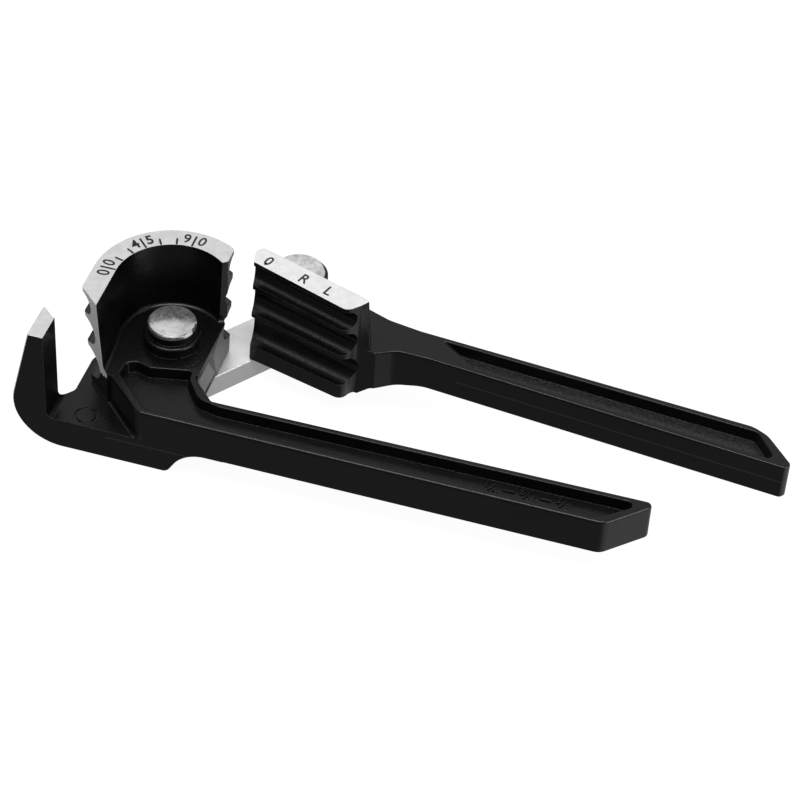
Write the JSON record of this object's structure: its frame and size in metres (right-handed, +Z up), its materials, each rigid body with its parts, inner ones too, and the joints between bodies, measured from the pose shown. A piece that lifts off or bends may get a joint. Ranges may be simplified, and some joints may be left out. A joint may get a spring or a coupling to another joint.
{
  "type": "manual tube bender",
  "caption": "Plier-like hand tube bender: grooved round form with hook and angle scale on one handle, grooved shoe on the other, joined by a pinned link.",
  "frame": {"origin": "on the pivot axis of the bending form, in the plane the tool lies on (underside of the foot, the link and the riveted pin ends)", "axes": "+X along handle 1 from the form to its tip, +Z up along both pivot axes, +Y towards handle 2"},
  "size_m": [0.1981, 0.0702, 0.0389],
  "materials": {
    "form_casting_paint": "satin black paint on die-cast metal, machined bare on the form's top face and the hook's tip",
    "shoe_casting_paint": "satin black paint on die-cast metal, machined bare on the shoe's top strip",
    "zinc_link": "bright zinc-plated steel bar",
    "steel_pins": "bright turned steel with a light mottle",
    "steel_washers": "plain steel"
  },
  "bodies": {
    "form_handle": {"form_handle": "form_casting_paint"},
    "link": {"link_bar": "zinc_link", "form_pivot_pin": "steel_pins", "shoe_pivot_pin": "steel_pins", "form_spacer_washer": "steel_washers", "shoe_spacer_washer": "steel_washers"},
    "shoe_handle": {"shoe_handle": "shoe_casting_paint"}
  },
  "joints": [
    {"name": "link_pivot", "type": "hinge", "parent": "form_handle", "child": "link", "pos_m": [0, 0, 0], "axis": [0, 0, 1], "range_deg": [0, 128]},
    {"name": "shoe_pivot", "type": "hinge", "parent": "link", "child": "shoe_handle", "pos_m": [0.02438, 0.03301, 0], "axis": [0, 0, 1], "range_deg": [-10, 120]}
  ]
}
